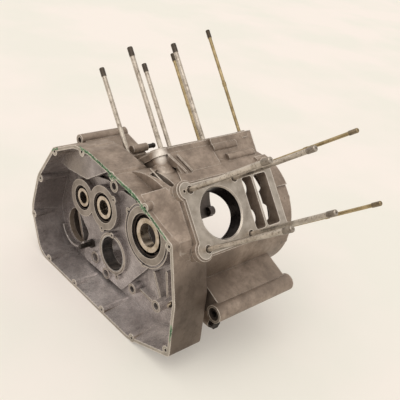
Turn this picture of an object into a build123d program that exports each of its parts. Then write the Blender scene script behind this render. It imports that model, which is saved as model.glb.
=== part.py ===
# Crankcase of a 90 degree V-twin engine, in millimetres.
# X runs along the crankshaft from the clutch side, Y to the rear, Z up.
# The origin is on the crankshaft axis, in the outer face of the main bearing.
import os
from math import atan2, cos, degrees, radians, sin

from build123d import *

os.makedirs("parts", exist_ok=True)

# Cylinder banks
front_lean = 50
rear_lean = 40
deck_height = 141.5
bore_radius = 45
bore_chamfer = 2.5
front_bore_x = 62.5
rear_bore_x = 100
stud_pitch = 103
side_stud_x = 141
side_stud_row = 122

# Cylinder deck, measured along X from the bore centre
deck_waist = 66.5
deck_half_width = 61
ear_radius = 15
ear_step = 8
window_start = 67.5
window_half_width = 48
first_window = 24.5
bulkhead = 5
second_window = 33
front_land = 16
rear_land = 26.5
deck_plate = 2.5
ridge_width = 3.5
ridge_depth = 12
tower_depth = 80
opening_depth = 42
deck_oil_hole = 2.5

# Studs
main_stud_shank = 9
main_stud_thread = 10
main_stud_stand = 193
side_stud_shank = 6.6
side_stud_thread = 8
side_stud_stand = 212
stud_thread_length = 18
stud_seat = 22
stud_relief = 3
stud_collar_length = 8
stud_centre = 3
thread_play = 0.05

# Clutch side
cover_face = -45
clutch_wall = 6.5
cavity_draft = 8
housing_end = 32
housing_round = 6
floor_face = 20
floor_back = 32
plateau_face = 12
shelf_face = -14
rim_boss = 8.5
rim_screw = 6
rim_screw_depth = 22
gasket_thickness = 0.4
gasket_width = 4.5

# Crank chamber and generator side
chamber_radius = 119
chamber_wall = 7
generator_face = 260
generator_rim = 14
generator_bosses = 8
generator_boss = 10
generator_band = 4
generator_band_length = 30
rim_notch_depth = 34
rim_notch_start = -72
rim_notch_end = -41
scallop_radius = 17
scallop_reach = 121.5
scallop_offset = 27.5

# Gearbox
gearbox_wall = 7
gearbox_face = 205
sump_height = -197

# Bearings: place in Y and Z, bore, outside diameter, width, recess from the origin's plane
main_bearing = (0, 0, 45, 85, 19, 0)
input_bearing = (140, -17, 30, 62, 16, 2)
output_bearing = (211, -31, 25, 52, 15, 2)
seat_play = 0.05
shoulder = 5
inner_ring_share = 0.52
outer_ring_share = 0.22
ball_share = 0.25
cage_width_share = 1.5
cage_wall_share = 0.4
ring_corner = 0.8
ball_gap = 0.3
balls_in_bearing = 9

# Idler bush and the openings of the clutch cavity floor
idler_place = (100, -102)
idler_bore = 70
bush_wall = 2.5
idler_face = 4
gear_opening = (243, -120)
gear_opening_radius = 38
gear_wall = 4
gear_wall_face = 7
bearing_groove = (56, 60, 2.5)

# Small pieces in the clutch cavity
stop_pin_place = (177, -125)
stop_pin_radius = 5
stop_pin_collar = 9
stop_pin_seat = 14
stop_pin_stand = 32
jet_place = (-112, -71)
jet_face = -22
jet_seat = 12
jet_radius = 3
jet_bore = 2

# Mount lugs
front_lug_y = -165
front_lug_z = -77
front_lug_radius = 16.5
front_lug_start = 30
front_lug_end = 226
front_bush_radius = 12
front_bush_length = 24
front_bush_recess = 1.5
mount_bolt = 12
rear_lug_y = 215
rear_lug_z = 98
rear_lug_radius = 11
rear_lug_start = -15
rear_lug_end = 92
rear_mount_bolt = 10

# Outlines of the two lug webs in Y and Z, from the lug to the casting
front_web = [
    (front_lug_y + 60, front_lug_z + 39),
    (front_lug_y + 5, front_lug_z + front_lug_radius - 0.5),
    (front_lug_y - 3, front_lug_z - front_lug_radius + 1.5),
    (front_lug_y + 85, front_lug_z - 23),
]
rear_web = [
    (rear_lug_y - 9, rear_lug_z + 2),
    (rear_lug_y + 9, rear_lug_z + 2),
    (rear_lug_y + 25, rear_lug_z - 58),
    (rear_lug_y - 75, rear_lug_z - 48),
    (rear_lug_y - 75, rear_lug_z - 13),
]

# Hose union, gallery plugs and drain plug. A gallery is given by its distance from the
# crankshaft, its angle from the rear cylinder axis, its start, its end and its radius.
union_place = (150, 93)
union_start = 78
union_length = 40
union_radius = 4.5
union_boss = 8
galleries = [(137, 29, 150, 212, 9), (chamber_radius, 37, 176, 246, 9)]
plug_radius = 5.5
plug_depth = 10
plug_socket = 7
drain_place = (90, -118, -153)
drain_boss = 13
drain_flange = 12
drain_head = 19
drain_thread = 14
drain_seat = 16

# Gasket remains: outlines in Y and Z of the torn pieces
gasket_patches = [
    [(246, 90), (262, 60), (240, 60)],
    [(170, 120), (160, 95), (60, 80), (52, 110), (100, 125)],
    [(38, 115), (44, 85), (-12, 80), (-22, 105)],
    [(-26, 105), (-30, 78), (-76, 60), (-96, 76), (-60, 95)],
    [(-150, -88), (-130, -86), (-132, -104), (-150, -108)],
]


def across(x):
    return Plane(origin=(x, 0, 0), x_dir=(0, 1, 0), z_dir=(1, 0, 0))


# Both deck planes have X along the crankshaft and Z along their cylinder axis
front_axis = Vector(0, -sin(radians(front_lean)), cos(radians(front_lean)))
rear_axis = Vector(0, sin(radians(rear_lean)), cos(radians(rear_lean)))
front_deck = Plane(front_axis * deck_height, x_dir=(1, 0, 0), z_dir=front_axis)
rear_deck = Plane(rear_axis * deck_height, x_dir=(1, 0, 0), z_dir=rear_axis)
decks = [
    ("front", front_deck, front_bore_x, front_land, ridge_depth),
    ("rear", rear_deck, rear_bore_x, rear_land, ridge_depth),
]
first_window_x = window_start + first_window / 2
second_window_x = window_start + first_window + bulkhead + second_window / 2
land_start = window_start + first_window + bulkhead + second_window
main_stud_grid = [(x * stud_pitch / 2, y * stud_pitch / 2) for x in (-1, 1) for y in (-1, 1)]
side_stud_pair = [(side_stud_x, y * side_stud_row / 2) for y in (-1, 1)]


def gallery_centre(distance, angle):
    turn = radians(angle)
    return (front_axis * sin(turn) + rear_axis * cos(turn)) * distance


def deck_outline(bore_x, land):
    # Waisted plate round the spigot bore, with an ear at each stud
    ear_x = bore_x - stud_pitch / 2 - ear_step
    plate_length = deck_waist + land_start + land
    with BuildSketch() as outline:
        with Locations((bore_x - deck_waist + plate_length / 2, 0)):
            Rectangle(plate_length, 2 * deck_half_width)
        with Locations((ear_x, stud_pitch / 2), (ear_x, -stud_pitch / 2)):
            Circle(ear_radius)
        with Locations([(bore_x + x, y) for x, y in side_stud_pair]):
            Circle(main_stud_thread)
    return outline.sketch


# Corners of the clutch cover face in Y and Z, each with its radius
clutch_corners = [
    ((-150, -152), 8),
    ((-35, sump_height), 60),
    ((285, sump_height), 45),
    ((330, -105), 60),
    ((312, -18), 60),
    ((262, 64), 8),
    ((190, 105), 50),
    ((142, 112), 20),
    ((0, 99), 80),
    ((-112, 58), 10),
    ((-142, -45), 20),
]
rim_screws = [
    (253, 62), (162, 102), (65, 99), (-33, 87), (-105, 52), (-139, -144),
    (-47, -186), (51, -188.5), (149, -188.5), (248, -188.5), (318, -115), (300, -20),
]
gearbox_corners = [
    ((-60, 60), 20),
    ((-100, -60), 20),
    ((-70, sump_height), 35),
    ((225, sump_height), 45),
    ((275, -90), 50),
    ((250, 0), 40),
    ((180, 62), 30),
    ((20, 95), 20),
]
plateau_corners = [
    ((-20, -50), 20),
    ((30, -120), 10),
    ((66, -172), 12),
    ((205, -176), 12),
    ((190, -110), 20),
    ((262, -60), 20),
    ((245, 12), 20),
    ((150, 38), 15),
    ((60, 40), 20),
]
shelf_corners = [
    ((120, 75), 8),
    ((181, 29), 8),
    ((245, 21), 8),
    ((285, 24), 8),
    ((340, 40), 1),
    ((340, 140), 1),
    ((120, 140), 1),
]


def rounded_outline(corners):
    with BuildSketch() as outline:
        with BuildLine():
            Polyline([point for point, radius in corners], close=True)
        make_face()
        for (y, z), radius in corners:
            corner = outline.vertices().sort_by_distance((y, z, 0))[0]
            fillet(corner, radius)
    return outline.sketch


# Shoulder of the front tower: X and outline, in the deck's Y and its distance from the
# crankshaft
shoulder_top = deck_height - 11
shoulder_sections = [
    (-38, [(-60, 50), (-60, 98), (-46, 111), (-27, 119), (43, 80), (70, 62), (70, 50)]),
    (-10, [(-60, 50), (-60, 112), (-46, 126), (-27, shoulder_top), (43, shoulder_top), (68, 106), (68, 50)]),
    (2, [(-60, 50), (-60, 112), (-46, 126), (-27, shoulder_top), (43, shoulder_top), (68, 106), (68, 50)]),
]

clutch_outline = rounded_outline(clutch_corners)
gearbox_outline = rounded_outline(gearbox_corners)

# Space inside the clutch cover face, drafted, with a column left at each cover screw
with BuildPart() as clutch_cavity:
    with BuildSketch(across(cover_face)):
        offset(clutch_outline, -clutch_wall)
    extrude(amount=floor_face - cover_face, taper=cavity_draft)
    with BuildSketch(across(cover_face)):
        with Locations(rim_screws):
            Circle(rim_boss)
    extrude(amount=floor_face - cover_face, mode=Mode.SUBTRACT)
    with BuildSketch(across(shelf_face)):
        add(rounded_outline(shelf_corners))
    extrude(amount=floor_face - shelf_face, mode=Mode.SUBTRACT)
    with BuildSketch(across(plateau_face)):
        add(rounded_outline(plateau_corners))
    extrude(amount=floor_face - plateau_face, mode=Mode.SUBTRACT)

# Slope from the rear tower down to the crank chamber, in Y and Z
slope_start = 52
slope_top = rear_axis * (deck_height - 9) + front_axis * (deck_half_width + ridge_width)
slope_corners = [
    ((slope_top.Y, slope_top.Z), 4),
    ((-9, chamber_radius - 1), 8),
    ((-9, chamber_radius * 0.75), 2),
    ((slope_top.Y, chamber_radius * 0.75), 2),
]
slope_outline = rounded_outline(slope_corners)

# Slanting ribs in the valley, each from its rear to its front end in X and Y
valley_rib_lines = [((46, 27), (69, -27)), ((64, 22), (81, -27))]
valley_rib_width = 4
valley_rib_height = 3.5
with BuildPart() as valley_ribs:
    for start, end in valley_rib_lines:
        rib = Vector(*end) - Vector(*start)
        middle = (Vector(*end) + Vector(*start)) / 2
        with BuildSketch(Plane.XY.offset(chamber_radius * 0.7)):
            with Locations(Location(middle, (0, 0, degrees(atan2(rib.Y, rib.X))))):
                SlotCenterToCenter(rib.length, valley_rib_width)
        extrude(amount=chamber_radius)
    with BuildSketch(across(0)):
        Circle(chamber_radius + valley_rib_height)
        offset(slope_outline, valley_rib_height)
    extrude(amount=generator_face, mode=Mode.INTERSECT)

# Pocket with gussets between the two towers, in X and Y
saddle_start = -8
saddle_front = -44
saddle_back = 75
pocket_corners = [(-4, 14), (30, 30), (62, 28), (36, -26), (8, -34)]
pocket_floor = 104
pocket_top = 122
pocket_shell = 3
pocket_end = 70
gusset_places = [9, 29]
gusset_width = 3
gusset_outline = [
    (30, pocket_floor - 6),
    (30, pocket_top - 2),
    (-30, pocket_floor + 2),
    (-30, pocket_floor - 6),
]
block_start = 150
block_reach = 72
block_foot = 85

# Bosses of the clutch cavity: place, radius, and the X of the machined face
shaft_bosses = [
    ((0, 0), 62, -4),
    (main_bearing[:2], 52, -4),
    (input_bearing[:2], 45, 0),
    (output_bearing[:2], 39, 0),
    (idler_place, 43, idler_face),
]
tube_bosses = [
    ((22, -136), 11, 6.5, 0),
    ((-61, -116), 12, 7, -10),
    ((98, 55), 12, 7, -12),
    ((159, -148), 13, 9, 8),
    ((115, -160), 12, 8, 6),
    (jet_place, 7, jet_radius + seat_play, jet_face),
]
screw_bosses = [
    ((58, 21), 7, -4),
    ((-3, -59), 7, -4),
    ((111, 16), 8, 0),
    ((137, -62), 8, 0),
    ((103, -60), 6, 0),
    ((77, -144), 6, 4),
]
boss_screw = 5
boss_screw_depth = 14
cavity_ribs = [((7, -131), (-28, -133)), ((-24, -70), (-52, -112)), ((-56, -50), (-68, -95))]
rib_width = 5
rib_face = 8

# Casting
with BuildPart() as crankcase:
    # Clutch housing, crank chamber and gearbox
    with BuildSketch(across(cover_face)):
        add(clutch_outline)
    extrude(amount=housing_end - cover_face)
    fillet(crankcase.faces().sort_by(Axis.X)[-1].edges(), housing_round)
    with BuildSketch(across(cover_face)):
        with Locations(rim_screws):
            Circle(rim_boss)
    extrude(amount=housing_end - housing_round - cover_face)
    with BuildSketch(across(floor_face)):
        Circle(chamber_radius)
    extrude(amount=generator_face - floor_face)
    with BuildSketch(across(floor_face)):
        add(gearbox_outline)
    extrude(amount=gearbox_face - floor_face)

    # Raised band on the upper front of the generator rim
    with BuildSketch(across(generator_face)):
        Circle(chamber_radius + generator_band)
        with BuildSketch(mode=Mode.INTERSECT):
            with BuildLine():
                Polyline((0, 0), (-150, 160), (-20, 160), close=True)
            make_face()
    extrude(amount=-generator_band_length)

    # Towers that carry the cylinder decks, each with a cast ridge below its plate
    for bank, deck, bore_x, land, ridge in decks:
        with BuildSketch(deck):
            add(deck_outline(bore_x, land))
        extrude(amount=-tower_depth)
        with BuildSketch(deck.offset(-deck_plate)):
            offset(deck_outline(bore_x, land), ridge_width)
        extrude(amount=-ridge)

    # Shoulder between the clutch housing and the front tower
    for x, outline in shoulder_sections:
        with BuildSketch(Plane((x, 0, 0), x_dir=front_deck.y_dir, z_dir=(1, 0, 0))):
            with BuildLine():
                Polyline(outline, close=True)
            make_face()
    loft(ruled=True)

    # Front mount lug with its web
    with BuildSketch(across(front_lug_start)):
        with Locations((front_lug_y, front_lug_z)):
            Circle(front_lug_radius)
    extrude(amount=front_lug_end - front_lug_start)
    with BuildSketch(across(front_lug_start + 12)):
        with BuildLine():
            Polyline(front_web, close=True)
        make_face()
    extrude(amount=front_lug_end - front_lug_start - 21)

    # Rear mount lug with its web
    with BuildSketch(across(rear_lug_start)):
        with Locations((rear_lug_y, rear_lug_z)):
            Circle(rear_lug_radius)
    extrude(amount=rear_lug_end - rear_lug_start)
    with BuildSketch(across(rear_lug_start + 6)):
        with BuildLine():
            Polyline(rear_web, close=True)
        make_face()
    extrude(amount=rear_lug_end - rear_lug_start - 6)

    # Boss of the hose union on the web
    with BuildSketch(across(union_start - 16)):
        with Locations(union_place):
            Circle(union_boss)
    extrude(amount=rear_lug_end - union_start + 22)

    # Boss of the drain plug on the front of the sump
    with BuildSketch(Plane(drain_place, x_dir=(1, 0, 0), z_dir=(0, 1, 0))):
        Circle(drain_boss)
    extrude(amount=45)

    # Wall of the rear tower toward the valley, thicker beside the last window
    with BuildSketch(across(slope_start)):
        add(slope_outline)
    extrude(amount=block_start - slope_start)
    block_length = rear_bore_x + land_start + rear_land + ridge_width - block_start
    with BuildSketch(rear_deck.offset(-deck_plate)):
        with Locations((block_start + block_length / 2, -block_reach / 2)):
            Rectangle(block_length, block_reach)
    extrude(amount=block_foot - deck_height)
    add(valley_ribs.part)

    # Saddle over the clutch housing, with a pocket and its gussets
    with BuildSketch(across(saddle_start)):
        Circle(chamber_radius)
        with Locations(((saddle_front + saddle_back) / 2, chamber_radius * 0.85)):
            Rectangle(saddle_back - saddle_front, chamber_radius * 0.4, mode=Mode.INTERSECT)
    extrude(amount=floor_back - saddle_start)
    with BuildSketch(Plane.XY.offset(pocket_floor)) as pocket:
        with BuildLine():
            Polyline(pocket_corners, close=True)
        make_face()
        fillet(pocket.vertices(), 4)
    extrude(amount=pocket_top - pocket_floor, mode=Mode.SUBTRACT)
    with BuildSketch(across(floor_face)):
        Circle(chamber_radius - pocket_shell)
    extrude(amount=pocket_end - floor_face)
    for x in gusset_places:
        with BuildSketch(across(x)):
            with BuildLine():
                Polyline(gusset_outline, close=True)
            make_face()
        extrude(amount=gusset_width)

    # Oil galleries in the valley between the decks
    for distance, angle, start, end, radius in galleries:
        centre = gallery_centre(distance, angle)
        with BuildSketch(across(start)):
            with Locations((centre.Y, centre.Z)):
                Circle(radius)
        extrude(amount=end - start)
        with BuildSketch(across(end)):
            with Locations((centre.Y, centre.Z)):
                Circle(plug_radius + seat_play)
        extrude(amount=-plug_depth, mode=Mode.SUBTRACT)
    # Clutch cavity, and the bosses and ribs that stand in it
    add(clutch_cavity.part, mode=Mode.SUBTRACT)
    for place, radius, face in shaft_bosses:
        with BuildSketch(across(face)):
            with Locations(place):
                Circle(radius)
        extrude(amount=floor_back - face)
    for place, radius, hole, face in tube_bosses:
        with BuildSketch(across(face)):
            with Locations(place):
                Circle(radius)
        extrude(amount=floor_back - face)
    for place, radius, face in screw_bosses:
        with BuildSketch(across(face)):
            with Locations(place):
                Circle(radius)
        extrude(amount=floor_back - face)
    for start, end in cavity_ribs:
        rib = Vector(*end) - Vector(*start)
        middle = (Vector(*end) + Vector(*start)) / 2
        with BuildSketch(across(rib_face)):
            with Locations(Location(middle, (0, 0, degrees(atan2(rib.Y, rib.X))))):
                SlotCenterToCenter(rib.length, rib_width)
        extrude(amount=floor_face - rib_face)
    with BuildSketch(across(gear_wall_face)):
        with Locations(gear_opening):
            Circle(gear_opening_radius + 3 + gear_wall)
            Circle(gear_opening_radius + 3, mode=Mode.SUBTRACT)
            with Locations((0, gear_opening_radius / 2)):
                Rectangle(120, 70, mode=Mode.SUBTRACT)
    extrude(amount=floor_back - gear_wall_face)
    groove_inside, groove_outside, groove_depth = bearing_groove
    with BuildSketch(across(-4)):
        Circle(groove_outside)
        Circle(groove_inside, mode=Mode.SUBTRACT)
    extrude(amount=groove_depth, mode=Mode.SUBTRACT)

    # Crank chamber, open to the generator side
    with BuildSketch(across(floor_back)):
        Circle(chamber_radius - chamber_wall)
    extrude(amount=generator_face - floor_back, mode=Mode.SUBTRACT)

    # Gearbox space, open to the generator side
    with BuildSketch(across(floor_back)):
        offset(gearbox_outline, -gearbox_wall)
        Circle(chamber_radius, mode=Mode.SUBTRACT)
    extrude(amount=gearbox_face - floor_back, mode=Mode.SUBTRACT)

    # Screw bosses inside the generator cover face
    boss_circle = chamber_radius + 1 - generator_boss
    with BuildSketch(across(generator_face)):
        with PolarLocations(boss_circle, generator_bosses, start_angle=-35):
            Circle(generator_boss)
    extrude(amount=-generator_rim)
    with BuildSketch(across(generator_face)):
        with PolarLocations(boss_circle, generator_bosses, start_angle=-35):
            Circle(rim_screw / 2)
    extrude(amount=-generator_rim, mode=Mode.SUBTRACT)

    # Notch in the generator rim on the gearbox side
    notch_reach = chamber_radius * 1.4
    notch_corners = [
        (notch_reach * cos(radians(angle)), notch_reach * sin(radians(angle)))
        for angle in (rim_notch_start, rim_notch_end)
    ]
    with BuildSketch(across(generator_face)):
        with BuildLine():
            Polyline((0, 0), *notch_corners, close=True)
        make_face()
    extrude(amount=-rim_notch_depth, mode=Mode.SUBTRACT)

    # Spigot bores and tunnel windows
    for bank, deck, bore_x, land, ridge in decks:
        with BuildSketch(deck):
            with Locations((bore_x, 0)):
                Circle(bore_radius)
            with Locations((bore_x + first_window_x, 0)):
                RectangleRounded(first_window, 2 * window_half_width, 5)
            with Locations((bore_x + second_window_x, 0)):
                RectangleRounded(second_window, 2 * window_half_width, 5)
        extrude(amount=-opening_depth, mode=Mode.SUBTRACT)
        with BuildSketch(deck):
            with Locations((bore_x, 0)):
                Circle(bore_radius + bore_chamfer)
        extrude(amount=-bore_chamfer, taper=45, mode=Mode.SUBTRACT)

        # Lobed inner edge of the bulkheads behind the windows
        for side in (-1, 1):
            centre = deck.z_dir * (scallop_reach - scallop_radius)
            centre = centre + deck.y_dir * (side * scallop_offset + 5)
            with BuildSketch(across(bore_x + window_start)):
                with Locations((centre.Y, centre.Z)):
                    Circle(scallop_radius)
            extrude(amount=land_start - window_start + 8, mode=Mode.SUBTRACT)

        # Stud holes with a relief at the deck
        with Locations(deck):
            with Locations([(bore_x + x, y) for x, y in main_stud_grid]):
                relief = main_stud_thread / 2 + 2
                CounterBoreHole(main_stud_thread / 2 + thread_play, relief, stud_relief, stud_seat)
            with Locations([(bore_x + x, y) for x, y in side_stud_pair]):
                relief = side_stud_thread / 2 + 1.5
                CounterBoreHole(side_stud_thread / 2 + thread_play, relief, stud_relief, stud_seat)
            with Locations((bore_x - stud_pitch / 2 - 13, stud_pitch / 2)):
                Hole(deck_oil_hole, stud_seat)

    # Bearing seats in the clutch side wall
    for y, z, bore, outside, width, recess in (main_bearing, input_bearing, output_bearing):
        with BuildSketch(across(-4)):
            with Locations((y, z)):
                Circle(outside / 2 + seat_play)
        extrude(amount=4 + recess + width, mode=Mode.SUBTRACT)
        with BuildSketch(across(-4)):
            with Locations((y, z)):
                Circle(outside / 2 - shoulder)
        extrude(amount=floor_back + 4, mode=Mode.SUBTRACT)
    with BuildSketch(across(-4)):
        with Locations(idler_place):
            Circle(idler_bore / 2 + bush_wall + seat_play)
        with Locations(gear_opening):
            Circle(gear_opening_radius)
    extrude(amount=floor_back + 4, mode=Mode.SUBTRACT)

    # Holes of the cavity bosses and of the cover screws
    for place, radius, hole, face in tube_bosses:
        with BuildSketch(across(face)):
            with Locations(place):
                Circle(hole)
        extrude(amount=floor_back - face, mode=Mode.SUBTRACT)
    for place, radius, face in screw_bosses:
        with BuildSketch(across(face)):
            with Locations(place):
                Circle(boss_screw / 2)
        extrude(amount=boss_screw_depth, mode=Mode.SUBTRACT)
    with BuildSketch(across(cover_face)):
        with Locations(rim_screws):
            Circle(rim_screw / 2)
    extrude(amount=rim_screw_depth, mode=Mode.SUBTRACT)

    # Seats of the stop pin, the hose union and the drain plug
    with BuildSketch(across(plateau_face)):
        with Locations(stop_pin_place):
            Circle(stop_pin_radius + seat_play)
    extrude(amount=stop_pin_seat, mode=Mode.SUBTRACT)
    with BuildSketch(across(union_start)):
        with Locations(union_place):
            Circle(union_radius + seat_play)
    extrude(amount=rear_lug_end - union_start + 6, mode=Mode.SUBTRACT)
    with BuildSketch(Plane(drain_place, x_dir=(1, 0, 0), z_dir=(0, 1, 0))):
        Circle(drain_thread / 2 + seat_play)
    extrude(amount=drain_seat, mode=Mode.SUBTRACT)

    # Bolt holes and bush seats of the mount lugs
    for x in (front_lug_start, front_lug_end):
        side = 1 if x == front_lug_start else -1
        with BuildSketch(across(x)):
            with Locations((front_lug_y, front_lug_z)):
                Circle(front_bush_radius + seat_play)
        extrude(amount=side * (front_bush_length + front_bush_recess), mode=Mode.SUBTRACT)
    with BuildSketch(across(front_lug_start)):
        with Locations((front_lug_y, front_lug_z)):
            Circle(mount_bolt / 2 + 0.5)
    extrude(amount=front_lug_end - front_lug_start, mode=Mode.SUBTRACT)
    with BuildSketch(across(rear_lug_start)):
        with Locations((rear_lug_y, rear_lug_z)):
            Circle(rear_mount_bolt / 2 + 0.5)
    extrude(amount=rear_lug_end - rear_lug_start, mode=Mode.SUBTRACT)
crankcase.part.label = "crankcase"
export_step(crankcase.part, "parts/crankcase.step")


# A turned piece is revolved round its axis from a profile of radius and height
def turned(place, profile):
    side = Plane(place.origin, x_dir=place.x_dir, z_dir=-place.y_dir)
    with BuildPart() as piece:
        with BuildSketch(side):
            with BuildLine():
                Polyline(profile, close=True)
            make_face()
        revolve(axis=Axis(place.origin, place.z_dir))
    return piece


def export(piece, name):
    piece.part.label = name
    export_step(piece.part, f"parts/{name}.step")


# Studs, threaded at both ends, with a centre drilling in the outer end
def stud_profile(shank, thread, stand, collar_length):
    s = shank / 2
    t = thread / 2
    top = stud_seat + stand
    middle = top / 2
    lower = [(0, 0), (t - 1, 0), (t, 1), (t, stud_seat - stud_relief), (s, stud_seat - stud_relief)]
    collar = [(s, middle), (t, middle), (t, middle + collar_length), (s, middle + collar_length)]
    upper = [
        (s, top - stud_thread_length),
        (t, top - stud_thread_length),
        (t, top - 1),
        (t - 1, top),
        (stud_centre / 2, top),
        (stud_centre / 2, top - stud_centre),
        (0, top - stud_centre),
    ]
    if collar_length == 0:
        return lower + upper
    return lower + collar + upper


stud_sets = [
    ("main", main_stud_grid, main_stud_shank, main_stud_thread, main_stud_stand, 0),
    ("side", side_stud_pair, side_stud_shank, side_stud_thread, side_stud_stand, stud_collar_length),
]
for bank, deck, bore_x, land, ridge in decks:
    for kind, places, shank, thread, stand, collar_length in stud_sets:
        for number, (x, y) in enumerate(places, start=1):
            foot = deck.from_local_coords((bore_x + x, y, -stud_seat))
            stud_plane = Plane(foot, x_dir=deck.x_dir, z_dir=deck.z_dir)
            stud = turned(stud_plane, stud_profile(shank, thread, stand, collar_length))
            export(stud, f"{bank}_{kind}_stud_{number}")


# Ball bearings: two grooved rings, and the balls with the cage that carries them
def bearing_plane(y, z):
    return Plane((0, y, z), x_dir=(1, 0, 0), z_dir=(0, -1, 0))


for name, spec in (("main", main_bearing), ("input", input_bearing), ("output", output_bearing)):
    y, z, bore, outside, width, recess = spec
    section = (outside - bore) / 2
    inner_top = bore / 2 + inner_ring_share * section
    outer_bottom = outside / 2 - outer_ring_share * section
    pitch = (inner_top + outer_bottom) / 2
    ball = ball_share * section
    middle = recess + width / 2
    shaft_axis = Axis((0, y, z), (1, 0, 0))
    rings = [("inner_ring", bore / 2, inner_top), ("outer_ring", outer_bottom, outside / 2)]
    for ring_name, low, high in rings:
        with BuildPart() as ring:
            with BuildSketch(bearing_plane(y, z)):
                with Locations((middle, (low + high) / 2)):
                    RectangleRounded(width, high - low, ring_corner)
                with Locations((middle, pitch)):
                    Circle(ball + ball_gap, mode=Mode.SUBTRACT)
            revolve(axis=shaft_axis)
        export(ring, f"{name}_bearing_{ring_name}")
    with BuildPart(Plane((middle, y, z), x_dir=(0, 1, 0), z_dir=(1, 0, 0))) as ball_set:
        with PolarLocations(pitch, balls_in_bearing):
            Sphere(ball)
        with BuildSketch(bearing_plane(y, z)):
            with Locations((middle, pitch)):
                Rectangle(cage_width_share * ball, cage_wall_share * ball)
        revolve(axis=shaft_axis)
    export(ball_set, f"{name}_bearing_ball_set")

# Idler bush in the polished lower bore
bush_length = floor_back - idler_face - 2
idler_y, idler_z = idler_place
bush_start = Plane((idler_face, idler_y, idler_z), x_dir=(0, 1, 0), z_dir=(1, 0, 0))
bush_inside = idler_bore / 2
bush_outside = bush_inside + bush_wall
bush_profile = [(bush_inside, 0), (bush_outside, 0), (bush_outside, bush_length), (bush_inside, bush_length)]
export(turned(bush_start, bush_profile), "idler_bush")

# Shift stop pin, with the collar that seats on the bearing plate
pin_y, pin_z = stop_pin_place
pin_foot = Plane((plateau_face + stop_pin_seat, pin_y, pin_z), x_dir=(0, 1, 0), z_dir=(-1, 0, 0))
pin_profile = [
    (0, 0),
    (stop_pin_radius, 0),
    (stop_pin_radius, stop_pin_seat),
    (stop_pin_collar, stop_pin_seat),
    (stop_pin_collar, stop_pin_seat + 6),
    (stop_pin_radius, stop_pin_seat + 6),
    (stop_pin_radius, stop_pin_seat + stop_pin_stand - 1),
    (stop_pin_radius - 1, stop_pin_seat + stop_pin_stand),
    (0, stop_pin_seat + stop_pin_stand),
]
export(turned(pin_foot, pin_profile), "shift_stop_pin")

# Oil jet in its boss at the front of the clutch cavity
jet_y, jet_z = jet_place
jet_foot = Plane((jet_face + jet_seat, jet_y, jet_z), x_dir=(0, 1, 0), z_dir=(-1, 0, 0))
jet_profile = [
    (jet_bore / 2, 0),
    (jet_radius, 0),
    (jet_radius, jet_seat),
    (jet_radius + 2, jet_seat),
    (jet_radius + 2, jet_seat + 4),
    (jet_radius - 0.4, jet_seat + 9),
    (jet_bore / 2, jet_seat + 9),
]
export(turned(jet_foot, jet_profile), "oil_jet")

# Bushes in both ends of the front mount lug
bush_recess = front_bush_recess
for name, x, direction in (("left", front_lug_start, 1), ("right", front_lug_end, -1)):
    start = Plane(
        (x + direction * bush_recess, front_lug_y, front_lug_z), x_dir=(0, 1, 0), z_dir=(direction, 0, 0)
    )
    inside = mount_bolt / 2 + 0.25
    profile = [
        (inside, 0),
        (front_bush_radius, 0),
        (front_bush_radius, front_bush_length),
        (inside, front_bush_length),
    ]
    export(turned(start, profile), f"front_mount_bush_{name}")

# Hose union pressed into the web of the rear mount lug
union_y, union_z = union_place
union_foot = Plane((union_start, union_y, union_z), x_dir=(0, 1, 0), z_dir=(1, 0, 0))
union_profile = [
    (union_radius - 1.5, 0),
    (union_radius, 0),
    (union_radius, union_length - 4),
    (union_radius + 0.8, union_length - 3),
    (union_radius, union_length),
    (union_radius - 1.5, union_length),
]
export(turned(union_foot, union_profile), "hose_union")

# Plugs in the open ends of the oil galleries
for number, (distance, angle, start, end, radius) in enumerate(galleries, start=1):
    centre = gallery_centre(distance, angle)
    with BuildPart() as plug:
        with BuildSketch(across(end - plug_depth)):
            with Locations((centre.Y, centre.Z)):
                Circle(plug_radius)
        extrude(amount=plug_depth - 1)
        with BuildSketch(across(end - 1)):
            with Locations((centre.Y, centre.Z)):
                RegularPolygon(plug_socket / 2, 6)
        extrude(amount=-plug_depth / 2, mode=Mode.SUBTRACT)
    export(plug, f"gallery_plug_{number}")

# Drain plug on the front of the sump
drain_plane = Plane(drain_place, x_dir=(1, 0, 0), z_dir=(0, -1, 0))
with BuildPart(drain_plane) as drain_plug:
    Cylinder(drain_flange, 2.5, align=(Align.CENTER, Align.CENTER, Align.MIN))
    with BuildSketch(drain_plane.offset(2.5)):
        RegularPolygon(drain_head / 2, 6, major_radius=False)
    extrude(amount=8)
    chamfer(drain_plug.faces().sort_by(Axis.Y)[0].edges(), 1)
    with BuildSketch(drain_plane):
        Circle(drain_thread / 2)
    extrude(amount=-drain_seat)
export(drain_plug, "drain_plug")

# Torn pieces of the cover gasket, left on the clutch cover face
with BuildPart() as gasket_remains:
    with BuildSketch(across(cover_face - gasket_thickness)):
        add(clutch_outline)
        offset(clutch_outline, -gasket_width, mode=Mode.SUBTRACT)
        with BuildSketch(mode=Mode.INTERSECT):
            for patch in gasket_patches:
                with BuildLine():
                    Polyline(patch, close=True)
                make_face()
        with Locations(rim_screws):
            Circle(rim_screw / 2 + 0.8, mode=Mode.SUBTRACT)
    extrude(amount=gasket_thickness)
export(gasket_remains, "gasket_remains")
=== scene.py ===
"""Looks of the engine crankcase: weathered cast aluminium, milled faces, studs and bearings.

Lengths are in metres, in the frame of the CAD part: X along the crankshaft, Y to the rear, Z up.
"""
import math

import bmesh
import bpy
from mathutils import Matrix, Vector


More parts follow.
